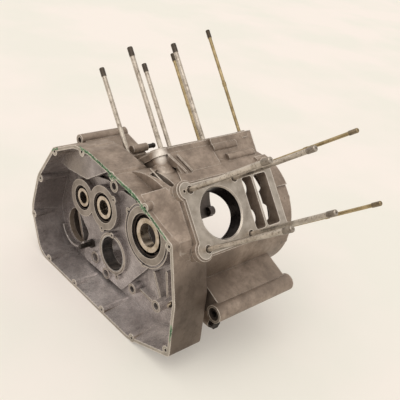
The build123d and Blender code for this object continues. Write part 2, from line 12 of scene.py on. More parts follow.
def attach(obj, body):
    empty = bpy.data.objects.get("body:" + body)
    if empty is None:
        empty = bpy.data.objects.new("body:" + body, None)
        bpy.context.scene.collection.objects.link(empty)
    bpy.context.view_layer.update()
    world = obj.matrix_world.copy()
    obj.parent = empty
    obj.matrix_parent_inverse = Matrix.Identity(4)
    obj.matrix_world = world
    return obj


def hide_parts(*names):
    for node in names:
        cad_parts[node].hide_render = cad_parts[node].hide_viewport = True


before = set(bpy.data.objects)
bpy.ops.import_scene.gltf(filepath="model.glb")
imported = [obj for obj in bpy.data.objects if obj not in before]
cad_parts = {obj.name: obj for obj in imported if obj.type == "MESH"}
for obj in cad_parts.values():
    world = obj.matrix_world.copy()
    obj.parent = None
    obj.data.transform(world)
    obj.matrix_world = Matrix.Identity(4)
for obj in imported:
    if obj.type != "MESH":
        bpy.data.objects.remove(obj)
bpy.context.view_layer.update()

MM = 0.001

# Sizes shared with the CAD part
FRONT_LEAN = math.radians(50)
REAR_LEAN = math.radians(40)
DECK_HEIGHT = 141.5 * MM
SPIGOT_RADIUS = 45 * MM
FRONT_BORE_X = 62.5 * MM
REAR_BORE_X = 100 * MM
COVER_FACE = -45 * MM
GENERATOR_FACE = 260 * MM
GEARBOX_FACE = 205 * MM
SUMP = -197 * MM
FRONT_AXIS = Vector((0, -math.sin(FRONT_LEAN), math.cos(FRONT_LEAN)))
REAR_AXIS = Vector((0, math.sin(REAR_LEAN), math.cos(REAR_LEAN)))
BANKS = {
    "front": (FRONT_AXIS, FRONT_BORE_X),
    "rear": (REAR_AXIS, REAR_BORE_X),
}


def linear(colour):
    """Linear RGBA from an sRGB hex value."""
    parts = [int(colour[i:i + 2], 16) / 255 for i in (1, 3, 5)]
    return tuple(c / 12.92 if c <= 0.04045 else ((c + 0.055) / 1.055) ** 2.4 for c in parts) + (1.0,)


def add(tree, kind, links=None, **settings):
    """One node with its settings. links maps an input to a value or to another node's output."""
    made = tree.nodes.new(kind)
    for name, value in settings.items():
        setattr(made, name, value)
    for key, value in (links or {}).items():
        if isinstance(value, bpy.types.NodeSocket):
            tree.links.new(value, made.inputs[key])
        else:
            made.inputs[key].default_value = value
    return made


def new_material(name):
    """A material with an empty tree, and its output and shader."""
    material = bpy.data.materials.new(name)
    material.use_nodes = True
    tree = material.node_tree
    tree.nodes.clear()
    shader = add(tree, "ShaderNodeBsdfPrincipled")
    add(tree, "ShaderNodeOutputMaterial", {"Surface": shader.outputs["BSDF"]})
    return material, tree, shader


def layered_colour(tree, base, layers):
    """The base colour under its layers. Each layer: what drives it, from, to, largest share, colour."""
    colour = linear(base)
    for source, low, high, most, tint in layers:
        share = add(tree, "ShaderNodeMapRange",
                    {"Value": source, "From Min": low, "From Max": high, "To Max": most})
        colour = add(tree, "ShaderNodeMix", {0: share.outputs[0], 6: colour, 7: linear(tint)},
                     data_type="RGBA").outputs[2]
    return colour


def seen_rays(tree):
    """1 for the rays of the eye, of reflections and of transmission, and 0 for the rest."""
    rays = add(tree, "ShaderNodeLightPath")
    seen = add(tree, "ShaderNodeMath", {0: rays.outputs["Is Camera Ray"], 1: rays.outputs["Is Glossy Ray"]},
               operation="MAXIMUM")
    return add(tree, "ShaderNodeMath", {0: seen.outputs[0], 1: rays.outputs["Is Transmission Ray"]},
               operation="MAXIMUM").outputs[0]


def cast_aluminium(name, light, dark, grime_and_painted_shade, edge, metallic, roughness, grain, painted_shade_share, patches=()):
    """Cast aluminium: grainy skin, blotches, painted shade in recesses, and edges painted bright as rubbed wear
    and painted highlight.

    Each patch is a place painted lighter or darker: its middle and radius in millimetres, colour and share.
    """
    material, tree, shader = new_material(name)
    point = add(tree, "ShaderNodeTexCoord").outputs["Object"]
    # Blotches about 35 mm and stains about 7 mm across, and cast skin drawn at about 1.5 mm so that it shows
    blotch, stain, skin = (
        add(tree, "ShaderNodeTexNoise",
            {"Vector": point, "Scale": scale, "Detail": detail, "Roughness": 0.68}).outputs["Fac"]
        for scale, detail in ((28.0, 9.0), (140.0, 6.0), (650.0, 3.0)))
    # Painted shade where the surface is closed in within 16 mm
    shade = add(tree, "ShaderNodeAmbientOcclusion", {"Distance": 16 * MM}, samples=6).outputs["AO"]
    # Edges painted bright, as rubbed wear and painted highlight, where the rounded normal leaves the true one:
    # drawn wider than real so that they show
    rounded = add(tree, "ShaderNodeBevel", {"Radius": 1.7 * MM}, samples=4).outputs[0]
    near_edge = add(tree, "ShaderNodeBevel", {"Radius": 3.5 * MM}, samples=8).outputs[0]
    true_normal = add(tree, "ShaderNodeNewGeometry").outputs["True Normal"]
    turn = add(tree, "ShaderNodeVectorMath", {0: near_edge, 1: true_normal},
               operation="DOT_PRODUCT").outputs["Value"]
    sharp = add(tree, "ShaderNodeMapRange", {"Value": turn, "From Min": 0.985, "From Max": 0.88}).outputs[0]
    open_air = add(tree, "ShaderNodeMapRange", {"Value": shade, "From Min": 0.6, "From Max": 0.9}).outputs[0]
    broken = add(tree, "ShaderNodeMapRange", {"Value": stain, "From Min": 0.35, "From Max": 0.55,
                                              "To Min": 0.25}).outputs[0]
    ragged_edge = add(tree, "ShaderNodeMapRange", {"Value": blotch, "From Min": 0.36, "From Max": 0.6,
                                                   "To Min": 0.5}).outputs[0]
    rub_and_highlight = add(tree, "ShaderNodeMath", {0: sharp, 1: open_air}, operation="MULTIPLY").outputs[0]
    rub_and_highlight = add(tree, "ShaderNodeMath", {0: rub_and_highlight, 1: broken}, operation="MULTIPLY").outputs[0]
    layers = [
        (blotch, 0.38, 0.62, 1.0, light),
        (stain, 0.50, 0.66, 1.2 * grain, dark),
        (skin, 0.55, 0.75, 0.6 * grain, grime_and_painted_shade),
    ]
    for middle, radius, tint, share in patches:
        away = add(tree, "ShaderNodeVectorMath", {0: point, 1: tuple(c * MM for c in middle)},
                   operation="DISTANCE")
        near = add(tree, "ShaderNodeMapRange", {"Value": away.outputs["Value"], "From Min": radius * MM,
                                                "From Max": 0.35 * radius * MM}).outputs[0]
        ragged = add(tree, "ShaderNodeMath", {0: near, 1: ragged_edge}, operation="MULTIPLY").outputs[0]
        layers.append((ragged, 0.1, 0.9, share, tint))
    # Painted shade in recesses, then edges painted bright as rubbed wear and painted highlight
    layers += [
        (shade, 0.8, 0.3, painted_shade_share, grime_and_painted_shade),
        (rub_and_highlight, 0.0, 1.0, 0.85, edge),
    ]
    tree.links.new(layered_colour(tree, dark, layers), shader.inputs["Base Color"])
    shader.inputs["Metallic"].default_value = metallic
    rough = add(tree, "ShaderNodeMapRange", {"Value": stain, "From Min": 0.3, "From Max": 0.7,
                                             "To Min": roughness - 0.08, "To Max": roughness + 0.1})
    tree.links.new(rough.outputs[0], shader.inputs["Roughness"])
    height = add(tree, "ShaderNodeMath", {0: skin, 1: stain}, operation="ADD").outputs[0]
    bump = add(tree, "ShaderNodeBump",
               {"Strength": grain, "Distance": 0.7 * MM, "Height": height, "Normal": rounded})
    tree.links.new(bump.outputs[0], shader.inputs["Normal"])
    return material


def milled_aluminium(name, light, dark, edge, roughness, mark_scale):
    """Milled aluminium: fine cutter marks, dull stains, painted shade in corners and edges painted bright as
    rubbed wear and painted highlight.
    """
    material, tree, shader = new_material(name)
    point = add(tree, "ShaderNodeTexCoord").outputs["Object"]
    cloud = add(tree, "ShaderNodeTexNoise", {"Vector": point, "Scale": 45.0, "Detail": 5.0,
                                             "Roughness": 0.65}).outputs["Fac"]
    # Cutter marks run along one direction, drawn about 0.8 mm apart so that they show
    stretch = add(tree, "ShaderNodeMapping", {"Vector": point, "Scale": mark_scale})
    marks = add(tree, "ShaderNodeTexNoise", {"Vector": stretch.outputs[0], "Scale": 1.0, "Detail": 3.0})
    shade = add(tree, "ShaderNodeAmbientOcclusion", {"Distance": 12 * MM}, samples=5).outputs["AO"]
    rounded = add(tree, "ShaderNodeBevel", {"Radius": 0.6 * MM}, samples=4).outputs[0]
    # The bright edge line, rubbed wear and painted highlight, is drawn wider than the real one so that it shows
    near_edge = add(tree, "ShaderNodeBevel", {"Radius": 3.5 * MM}, samples=8).outputs[0]
    true_normal = add(tree, "ShaderNodeNewGeometry").outputs["True Normal"]
    turn = add(tree, "ShaderNodeVectorMath", {0: near_edge, 1: true_normal},
               operation="DOT_PRODUCT").outputs["Value"]
    layers = [
        (cloud, 0.34, 0.62, 1.0, light),
        # Painted shade in corners, then edges painted bright as rubbed wear and painted highlight
        (shade, 0.85, 0.4, 0.45, "#3b3531"),
        (turn, 0.985, 0.9, 0.75, edge),
    ]
    tree.links.new(layered_colour(tree, dark, layers), shader.inputs["Base Color"])
    shader.inputs["Metallic"].default_value = 0.85
    rough = add(tree, "ShaderNodeMapRange", {"Value": cloud, "From Min": 0.3, "From Max": 0.7,
                                             "To Min": roughness - 0.07, "To Max": roughness + 0.08})
    tree.links.new(rough.outputs[0], shader.inputs["Roughness"])
    bump = add(tree, "ShaderNodeBump",
               {"Strength": 0.25, "Distance": 0.15 * MM, "Height": marks.outputs["Fac"],
                "Normal": rounded})
    tree.links.new(bump.outputs[0], shader.inputs["Normal"])
    return material


def stained_surface(name, light, dark, spot, spots, metallic, roughness, painted_shade_share=0.0, thread_from=None):
    """Turned, ground or torn surface: clouds of two tones, spots, and painted shade where it is closed in.

    thread_from is the height along the cylinder's axis above which a stud is oily thread.
    """
    material, tree, shader = new_material(name)
    point = add(tree, "ShaderNodeTexCoord").outputs["Object"]
    # Clouds about 15 mm and spots about 4 mm across
    cloud, fleck = (
        add(tree, "ShaderNodeTexNoise",
            {"Vector": point, "Scale": scale, "Detail": 4.0, "Roughness": 0.65}).outputs["Fac"]
        for scale in (60.0, 260.0))
    shade = add(tree, "ShaderNodeAmbientOcclusion", {"Distance": 30 * MM}, samples=6).outputs["AO"]
    layers = [
        (cloud, 0.35, 0.6, 1.0, light),
        (fleck, 0.56, 0.68, spots, spot),
        # Painted shade where the surface is closed in within 30 mm
        (shade, 0.9, 0.6, painted_shade_share, "#1f1a18"),
    ]
    if thread_from is not None:
        for axis, share in ((FRONT_AXIS, 0.4), (REAR_AXIS, 0.9)):
            height = add(tree, "ShaderNodeVectorMath", {0: point, 1: axis},
                         operation="DOT_PRODUCT").outputs["Value"]
            layers.append((height, thread_from, thread_from + 0.5 * MM, share, "#463d35"))
    tree.links.new(layered_colour(tree, dark, layers), shader.inputs["Base Color"])
    shader.inputs["Metallic"].default_value = metallic
    rough = add(tree, "ShaderNodeMapRange", {"Value": cloud, "From Min": 0.3, "From Max": 0.7,
                                             "To Min": roughness - 0.06, "To Max": roughness + 0.1})
    tree.links.new(rough.outputs[0], shader.inputs["Roughness"])
    bump = add(tree, "ShaderNodeBump", {"Strength": 0.2, "Distance": 0.1 * MM, "Height": fleck})
    tree.links.new(bump.outputs[0], shader.inputs["Normal"])
    return material


# Places on the outside: two painted bright as rubbed wear and painted highlight, the rest darker, low on the
# front
OUTSIDE_PATCHES = (
    ((31, 30, 142), 20, "#f6efe6", 0.95),
    ((18, 8, 112), 26, "#e0d6ca", 0.65),
    ((-10, -137, -40), 80, "#45392f", 0.85),
    ((-14, -146, -120), 85, "#45392f", 0.8),
    ((30, -140, -20), 60, "#4c3f34", 0.75),
    ((80, -128, -15), 55, "#54463a", 0.6),
    ((200, -150, -75), 60, "#85776a", 0.4),
)
# Weathered sand casting: warm grey-brown, dull, stained by oil, with painted shade in its recesses and edges
# painted bright as rubbed wear and painted highlight
cast_outside = cast_aluminium("sand_cast_aluminium_weathered", "#a8988a", "#7f7165", "#43382f", "#e9e1d6",
                              0.40, 0.50, 0.40, 0.6, OUTSIDE_PATCHES)
# Painted light low in the clutch cavity, and painted shade higher up, on its upper wall
INSIDE_PAINTED_LIGHT_AND_SHADE = (
    ((-10, -70, -120), 100, "#ddd5d0", 0.75),
    ((0, 90, -200), 150, "#d8d1cf", 0.8),
    ((-14, 225, 38), 70, "#7d7164", 0.7),
    ((0, 310, -60), 90, "#655c59", 0.65),
)
# Sand casting wet with oil: grey, smoother and with soft highlights, with painted shade in its recesses,
# painted light and shade in its patches, and edges painted bright as rubbed wear and painted highlight
cast_inside = cast_aluminium("sand_cast_aluminium_oily", "#aea6a4", "#857d7b", "#423a38", "#efe9e2",
                             0.50, 0.27, 0.14, 0.5, INSIDE_PAINTED_LIGHT_AND_SHADE)
# Crank chamber wall: the same casting under burnt oil and painted shade, nearly black in its depth
chamber_oil_and_shade = cast_aluminium("sand_cast_aluminium_burnt_oil_and_shade", "#655a53", "#443c37", "#201b18", "#8d8177",
                              0.35, 0.36, 0.22, 0.75)
# Milled face: lighter, with fine marks of the cutter and a bright line where its edge is rubbed
milled = milled_aluminium("milled_aluminium", "#b6aea4", "#948c82", "#efe8de", 0.36, (1200.0, 60.0, 60.0))
# Milled bearing bosses in the oily cavity: the same cut, dulled by oil
milled_boss = milled_aluminium("milled_aluminium_oiled", "#a1988f", "#7c736b", "#e3dace", 0.33,
                               (900.0, 60.0, 60.0))
# Bored wall darkened by burnt oil and painted shade
bored_oil_and_shade = milled_aluminium("bored_aluminium_oil_and_shade_darkened", "#57524f", "#353130", "#8d857e", 0.3,
                         (90.0, 900.0, 900.0))
# Honed wall with a clear reflection
honed = milled_aluminium("honed_bore", "#9a9795", "#6a6766", "#d5d0ca", 0.2, (900.0, 90.0, 90.0))
# Rolled bright steel of the long studs: silver, with dark rust flecks and a soft shine
stud_steel = stained_surface("rolled_stud_steel", "#cdc4b8", "#a3998d", "#51443a", 0.75, 0.85, 0.30,
                             thread_from=DECK_HEIGHT + 175 * MM)
# Thread roots hold old oil, so the ends look dark and dull
thread_steel = stained_surface("oiled_thread_steel", "#4b423a", "#2d2722", "#70655a", 0.4, 0.25, 0.55)
# The front bank's ends are wiped cleaner: brown-grey crests
wiped_thread_steel = stained_surface("wiped_thread_steel", "#93877a", "#6b6056", "#453c34", 0.5, 0.7, 0.42)
# Yellow passivated zinc, worn: a dull straw tint over steel
yellow_zinc = stained_surface("yellow_zinc_plated_steel", "#bca983", "#93825f", "#5a4a3b", 0.65, 0.8, 0.34,
                              thread_from=DECK_HEIGHT + 195 * MM)
# Ground bearing races: smooth, light straw faces, dark inside their bores with oil and painted shade
race_steel = stained_surface("ground_bearing_steel", "#d3c6b6", "#a4957f", "#6d5a48", 0.4, 0.85, 0.28, 0.95)
# Races, balls and seals deep in the bearings: nearly black with oil, with painted shade where closed in, and a
# small sharp shine
dark_race = stained_surface("oil_dark_bearing_steel", "#4d433d", "#2f2926", "#6d5846", 0.4, 0.8, 0.28, 0.4)
# Black oxide steel: black-brown and satin
dark_steel = stained_surface("black_oxide_steel", "#453f3b", "#26221f", "#6a5f55", 0.45, 0.8, 0.42)
# Pressed steel cage: dull brown sheet under oil, with painted shade where closed in
cage_steel = stained_surface("pressed_steel_cage", "#6b5f54", "#42392f", "#2c2621", 0.4, 0.7, 0.38, 0.6)
# Torn gasket paper soaked in sealant: matt grey-green, with greener flakes
gasket_paper = stained_surface("torn_gasket_paper", "#88ac87", "#699870", "#3cb26d", 0.85, 0.0, 0.8)

# Housing: the CAD casting with its finishes face by face
OUTSIDE, INSIDE, MILLED, BORED, HONED, CHAMBER, BOSS = range(7)
# How near the middle of a face lies to the plane that names it, and how squarely it points along the axis
NEAR = 0.12 * MM
FACING = 0.9
# Heights along a cylinder's axis where its spigot bore and the chamfer on that bore start
BORE_START = 60 * MM
CHAMFER_START = 130 * MM
CHAMFER_WIDTH = 3 * MM
# X of the machined faces in the clutch cavity, in millimetres, and of the ends of the mount lugs
BOSS_FACES = (-22, -15, -12, -10, -4, 0, 4, 6, 8, 30)
LUG_ENDS = (226 * MM, 92 * MM, 98 * MM)
# Honed bores in the cavity floor: place in Y and Z, and least and largest radius of the wall, in millimetres
SHAFT_BORES = (((100, -102), 30, 38.5), ((0, 0), 20, 44), ((140, -17), 20, 32), ((211, -31), 18, 27))
# X just inside the cover face, just past the cavity floor's front and back, and where the gearbox starts
INSIDE_COVER_FACE = -44.8 * MM
FLOOR_FRONT = 20.2 * MM
FLOOR_BACK = 33 * MM
GEARBOX_START = 31 * MM
# Just over the radius of the crank chamber's wall
CHAMBER_REACH = 112.6 * MM
CLUTCH_MIDDLE = Vector((0, 85, -60)) * MM
GEARBOX_MIDDLE = Vector((0, 90, -90)) * MM
# Outlines in Y and Z, in millimetres: the cavity floor, a little inside the cover face, and the gearbox
CAVITY_FIELD = [(-125, -140), (-35, -180), (275, -180), (312, -105), (295, -15), (250, 50), (0, 82),
                (-98, 44), (-124, -45)]
HOUSING_FIELD = [(-146, -148), (-34, -193), (283, -193), (325, -105), (308, -19), (260, 60), (190, 101),
                 (142, 108), (0, 95), (-109, 55), (-138, -45)]
GEARBOX_FIELD = [(-90, -60), (-63, -190), (222, -190), (268, -90), (243, -3), (176, 54)]


def distance_to_axis(point, origin, axis):
    """How far a point lies from a line."""
    away = point - origin
    return (away - axis * away.dot(axis)).length


def in_polygon(point, corners):
    """Whether a point lies inside an outline in Y and Z."""
    y, z = point.y / MM, point.z / MM
    inside = False
    for (y1, z1), (y2, z2) in zip(corners, corners[1:] + corners[:1]):
        if (z1 > z) != (z2 > z) and y < (y2 - y1) * (z - z1) / (z2 - z1) + y1:
            inside = not inside
    return inside


def in_gearbox(centre, normal):
    """Whether a face is one of the gearbox's inner walls."""
    inward = GEARBOX_MIDDLE - Vector((0, centre.y, centre.z))
    facing = inward.dot(normal) > 0 or abs(normal.x) > FACING
    return GEARBOX_START < centre.x < GEARBOX_FACE and facing and in_polygon(centre, GEARBOX_FIELD)


def finish_of(centre, normal):
    """Which finish a face of the casting gets, from its place and direction."""
    for axis, bore_x in BANKS.values():
        if abs(centre.dot(axis) - DECK_HEIGHT) < NEAR and normal.dot(axis) > FACING:
            return MILLED
        origin = Vector((bore_x, 0, 0))
        away = distance_to_axis(centre, origin, axis)
        height = centre.dot(axis)
        if height > BORE_START and abs(away - SPIGOT_RADIUS) < 1.0 * MM and abs(normal.dot(axis)) < 0.2:
            return BORED
        if height > CHAMFER_START and away < SPIGOT_RADIUS + CHAMFER_WIDTH and normal.dot(axis) > 0.3:
            return MILLED
    for plane in BOSS_FACES:
        if abs(centre.x - plane * MM) < NEAR and normal.x < -FACING:
            return BOSS
    if abs(centre.x - COVER_FACE) < NEAR and normal.x < -FACING:
        return MILLED
    for plane in (GENERATOR_FACE, GEARBOX_FACE, *LUG_ENDS):
        if abs(centre.x - plane) < NEAR and normal.x > FACING:
            return MILLED
    flat = Vector((0, centre.y, centre.z))
    if centre.x < FLOOR_BACK and abs(normal.x) < 0.2:
        for place, low, high in SHAFT_BORES:
            away = (flat - Vector((0, place[0], place[1])) * MM).length
            if low * MM < away < high * MM:
                return HONED
    if centre.x < FLOOR_FRONT:
        outward = (flat - CLUTCH_MIDDLE).dot(Vector((0, normal.y, normal.z)))
        faces_in = normal.x < -FACING or outward < 0 or in_polygon(flat, CAVITY_FIELD)
        within = INSIDE_COVER_FACE < centre.x and in_polygon(flat, HOUSING_FIELD)
        return INSIDE if within and faces_in else OUTSIDE
    if flat.length < CHAMBER_REACH and centre.x > GEARBOX_START:
        return CHAMBER
    return INSIDE if in_gearbox(centre, normal) else OUTSIDE


def merged_copy(node, name):
    """A copy of a CAD node's mesh with its doubles merged and its shading smooth below 28 degrees."""
    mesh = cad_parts[node].data.copy()
    mesh.name = name
    work = bmesh.new()
    work.from_mesh(mesh)
    bmesh.ops.remove_doubles(work, verts=work.verts, dist=2e-6)
    for face in work.faces:
        face.smooth = True
    for edge in work.edges:
        edge.smooth = len(edge.link_faces) == 2 and edge.calc_face_angle(0) < math.radians(28)
    work.to_mesh(mesh)
    work.free()
    mesh.materials.clear()
    piece = bpy.data.objects.new(name, mesh)
    bpy.context.scene.collection.objects.link(piece)
    return piece


def apply_modifiers(piece):
    """Turns the evaluated object into a plain mesh."""
    graph = bpy.context.evaluated_depsgraph_get()
    mesh = bpy.data.meshes.new_from_object(piece.evaluated_get(graph), depsgraph=graph)
    piece.modifiers.clear()
    piece.data = mesh


housing = merged_copy("crankcase", "crankcase_casting")
for material in (cast_outside, cast_inside, milled, bored_oil_and_shade, honed, chamber_oil_and_shade, milled_boss):
    housing.data.materials.append(material)
for polygon in housing.data.polygons:
    polygon.material_index = finish_of(polygon.center.copy(), polygon.normal.copy())
weighted = housing.modifiers.new("even_shading", "WEIGHTED_NORMAL")
weighted.keep_sharp = True
weighted.weight = 80
apply_modifiers(housing)
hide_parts("crankcase")
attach(housing, "case")


def new_node_tree(name, inputs):
    """A Geometry Nodes tree with named inputs. Returns it, its input node and the sockets' identifiers."""
    tree = bpy.data.node_groups.new(name, "GeometryNodeTree")
    tree.interface.new_socket("Geometry", in_out="INPUT", socket_type="NodeSocketGeometry")
    keys = {}
    for label, kind in inputs:
        keys[label] = tree.interface.new_socket(label, in_out="INPUT", socket_type=kind).identifier
    tree.interface.new_socket("Geometry", in_out="OUTPUT", socket_type="NodeSocketGeometry")
    return tree, add(tree, "NodeGroupInput"), keys


def grow(piece, tree, keys, values):
    """Gives the piece a node tree with its values, and turns the result into a plain mesh."""
    nodes = piece.modifiers.new(tree.name, "NODES")
    nodes.node_group = tree
    for label, value in values.items():
        nodes[keys[label]] = value
    apply_modifiers(piece)
    for polygon in piece.data.polygons:
        polygon.use_smooth = True


def mesh_piece(name, points=(), edges=()):
    """A new object of loose points and edges, for a node tree to grow from."""
    mesh = bpy.data.meshes.new(name)
    mesh.from_pydata([tuple(p) for p in points], list(edges), [])
    piece = bpy.data.objects.new(name, mesh)
    bpy.context.scene.collection.objects.link(piece)
    return piece


def thread_tree():
    """Turns of thread stacked along the threaded ends of the studs."""
    tree, given, keys = new_node_tree("thread_turns", (
        ("Pitch", "NodeSocketFloat"), ("Radius", "NodeSocketFloat"), ("Depth", "NodeSocketFloat"),
        ("Metal", "NodeSocketMaterial")))
    line = add(tree, "GeometryNodeMeshToCurve", {"Mesh": given.outputs["Geometry"]})
    stepped = add(tree, "GeometryNodeResampleCurve",
                  {"Curve": line.outputs[0], "Length": given.outputs["Pitch"]}, mode="LENGTH")
    crest = add(tree, "ShaderNodeMath", {0: given.outputs["Radius"], 1: given.outputs["Depth"]},
                operation="ADD")
    root = add(tree, "ShaderNodeMath", {0: given.outputs["Radius"], 1: given.outputs["Depth"]},
               operation="SUBTRACT")
    turn = add(tree, "GeometryNodeMeshCone", {"Vertices": 28, "Radius Top": root.outputs[0],
                                              "Radius Bottom": crest.outputs[0],
                                              "Depth": given.outputs["Pitch"]})
    tangent = add(tree, "GeometryNodeInputTangent")
    aim = add(tree, "FunctionNodeAlignRotationToVector", {"Vector": tangent.outputs[0]}, axis="Z")
    placed = add(tree, "GeometryNodeInstanceOnPoints",
                 {"Points": stepped.outputs[0], "Instance": turn.outputs["Mesh"],
                  "Rotation": aim.outputs[0]})
    real = add(tree, "GeometryNodeRealizeInstances", {"Geometry": placed.outputs[0]})
    finish = add(tree, "GeometryNodeSetMaterial",
                 {"Geometry": real.outputs[0], "Material": given.outputs["Metal"]})
    add(tree, "NodeGroupOutput", {"Geometry": finish.outputs[0]})
    return tree, keys


THREAD_LENGTH = 18 * MM
# Pitch drawn coarser than the real 1.5 and 1.25 mm, so that it shows, and half the height of a turn's tooth
THREAD_PITCH = 2 * MM
THREAD_DEPTH = 0.3 * MM
# How far the first turn lies above the foot of the thread, and the last one below its tip
FIRST_TURN = 1.5 * MM
LAST_TURN = 2.6 * MM
MAIN_GRID = [(x * 51.5, y * 51.5) for x in (-1, 1) for y in (-1, 1)]
SIDE_PAIR = [(141, -61), (141, 61)]
# Kind of stud, its places on the deck, its height over the deck and the radius of its thread, in millimetres
STUD_KINDS = (("main", MAIN_GRID, 193, 5.0), ("side", SIDE_PAIR, 212, 4.0))
threads, thread_keys = thread_tree()
for bank, (axis, bore_x) in BANKS.items():
    across = axis.cross(Vector((1, 0, 0)))
    for kind, places, stand, radius in STUD_KINDS:
        points, edges = [], []
        for x, y in places:
            foot = Vector((bore_x + x * MM, 0, 0)) + across * (y * MM) + axis * DECK_HEIGHT
            top = foot + axis * (stand * MM)
            edges.append((len(points), len(points) + 1))
            points += [top - axis * (THREAD_LENGTH - FIRST_TURN), top - axis * LAST_TURN]
        piece = mesh_piece(f"{bank}_{kind}_stud_threads", points, edges)
        grow(piece, threads, thread_keys, {"Pitch": THREAD_PITCH, "Radius": radius * MM, "Depth": THREAD_DEPTH,
                                           "Metal": thread_steel if bank == "rear" else wiped_thread_steel})
        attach(piece, "case")


# Points of the cage's ribbon for each ball, and how thick its sheet is
RIBBON_STEPS = 16.0
RIBBON_THICKNESS = 0.5 * MM


def ball_tree():
    """Balls in a circle across X."""
    tree, given, keys = new_node_tree("bearing_balls", (
        ("Centre", "NodeSocketVector"), ("Balls", "NodeSocketInt"), ("Ball circle", "NodeSocketFloat"),
        ("Ball radius", "NodeSocketFloat"), ("Steel", "NodeSocketMaterial")))
    circle = add(tree, "GeometryNodeMeshCircle", {"Vertices": given.outputs["Balls"],
                                                  "Radius": given.outputs["Ball circle"]})
    ball = add(tree, "GeometryNodeMeshUVSphere",
               {"Segments": 24, "Rings": 14, "Radius": given.outputs["Ball radius"]})
    ring = add(tree, "GeometryNodeInstanceOnPoints",
               {"Points": circle.outputs["Mesh"], "Instance": ball.outputs["Mesh"]})
    turned = add(tree, "GeometryNodeTransform",
                 {"Geometry": ring.outputs[0], "Rotation": (0.0, math.pi / 2, 0.0),
                  "Translation": given.outputs["Centre"]})
    real = add(tree, "GeometryNodeRealizeInstances", {"Geometry": turned.outputs[0]})
    finish = add(tree, "GeometryNodeSetMaterial",
                 {"Geometry": real.outputs[0], "Material": given.outputs["Steel"]})
    add(tree, "NodeGroupOutput", {"Geometry": finish.outputs[0]})
    return tree, keys


def cage_tree():
    """Two ribbons across X that bulge round each ball."""
    tree, given, keys = new_node_tree("bearing_cage", (
        ("Centre", "NodeSocketVector"), ("Balls", "NodeSocketInt"), ("Ball circle", "NodeSocketFloat"),
        ("Ball radius", "NodeSocketFloat"), ("Ribbon height", "NodeSocketFloat"),
        ("Steel", "NodeSocketMaterial")))
    joined = add(tree, "GeometryNodeJoinGeometry")
    steps = add(tree, "ShaderNodeMath", {0: given.outputs["Balls"], 1: RIBBON_STEPS}, operation="MULTIPLY")
    for side in (1, -1):
        wire = add(tree, "GeometryNodeCurvePrimitiveCircle", {"Resolution": steps.outputs[0],
                                                              "Radius": given.outputs["Ball circle"]})
        place = add(tree, "GeometryNodeInputIndex")
        angle = add(tree, "ShaderNodeMath", {0: place.outputs[0], 1: 2 * math.pi / RIBBON_STEPS},
                    operation="MULTIPLY")
        wave = add(tree, "ShaderNodeMath", {0: angle.outputs[0]}, operation="COSINE")
        bulge = add(tree, "ShaderNodeMapRange", {"Value": wave.outputs[0], "From Min": -0.6, "From Max": 0.7,
                                                 "To Min": 0.06 * side, "To Max": 1.04 * side})
        lift = add(tree, "ShaderNodeMath", {0: bulge.outputs[0], 1: given.outputs["Ball radius"]},
                   operation="MULTIPLY")
        shift = add(tree, "ShaderNodeCombineXYZ", {"Z": lift.outputs[0]})
        bent = add(tree, "GeometryNodeSetPosition",
                   {"Geometry": wire.outputs["Curve"], "Offset": shift.outputs[0]})
        section = add(tree, "GeometryNodeCurvePrimitiveQuadrilateral",
                      {"Width": given.outputs["Ribbon height"], "Height": RIBBON_THICKNESS})
        upright = add(tree, "GeometryNodeSetCurveNormal", {"Curve": bent.outputs[0]}, mode="Z_UP")
        ribbon = add(tree, "GeometryNodeCurveToMesh", {"Curve": upright.outputs[0],
                                                       "Profile Curve": section.outputs[0],
                                                       "Fill Caps": True})
        tree.links.new(ribbon.outputs[0], joined.inputs[0])
    turned = add(tree, "GeometryNodeTransform",
                 {"Geometry": joined.outputs[0], "Rotation": (0.0, math.pi / 2, 0.0),
                  "Translation": given.outputs["Centre"]})
    real = add(tree, "GeometryNodeRealizeInstances", {"Geometry": turned.outputs[0]})
    finish = add(tree, "GeometryNodeSetMaterial",
                 {"Geometry": real.outputs[0], "Material": given.outputs["Steel"]})
    add(tree, "NodeGroupOutput", {"Geometry": finish.outputs[0]})
    return tree, keys


# Bearings: middle of the balls, bore and outside diameter
BEARINGS = {
    "main": ((9.5, 0, 0), 45, 85),
    "input": ((10, 140, -17), 30, 62),
    "output": ((9.5, 211, -31), 25, 52),
}
BALLS_IN_BEARING = 9
# Shares of half the difference between bore and outside diameter
INNER_RING, OUTER_RING, BALL_RADIUS, RIBBON_HEIGHT = 0.52, 0.22, 0.25, 0.14
ball_nodes, ball_keys = ball_tree()
cage_nodes, cage_keys = cage_tree()
for shaft, (middle, bore, outside) in BEARINGS.items():
    section = (outside - bore) / 2
    shared = {
        "Centre": [c * MM for c in middle],
        "Balls": BALLS_IN_BEARING,
        "Ball circle": (bore / 2 + INNER_RING * section + outside / 2 - OUTER_RING * section) / 2 * MM,
        "Ball radius": BALL_RADIUS * section * MM,
    }
    balls = mesh_piece(f"{shaft}_bearing_balls")
    grow(balls, ball_nodes, ball_keys, {**shared, "Steel": dark_race})
    cage = mesh_piece(f"{shaft}_bearing_cage")
    grow(cage, cage_nodes, cage_keys,
         {**shared, "Ribbon height": RIBBON_HEIGHT * section * MM, "Steel": cage_steel})
    for piece in (balls, cage):
        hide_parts(f"{shaft}_bearing_ball_set")
        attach(piece, f"{shaft}_balls")


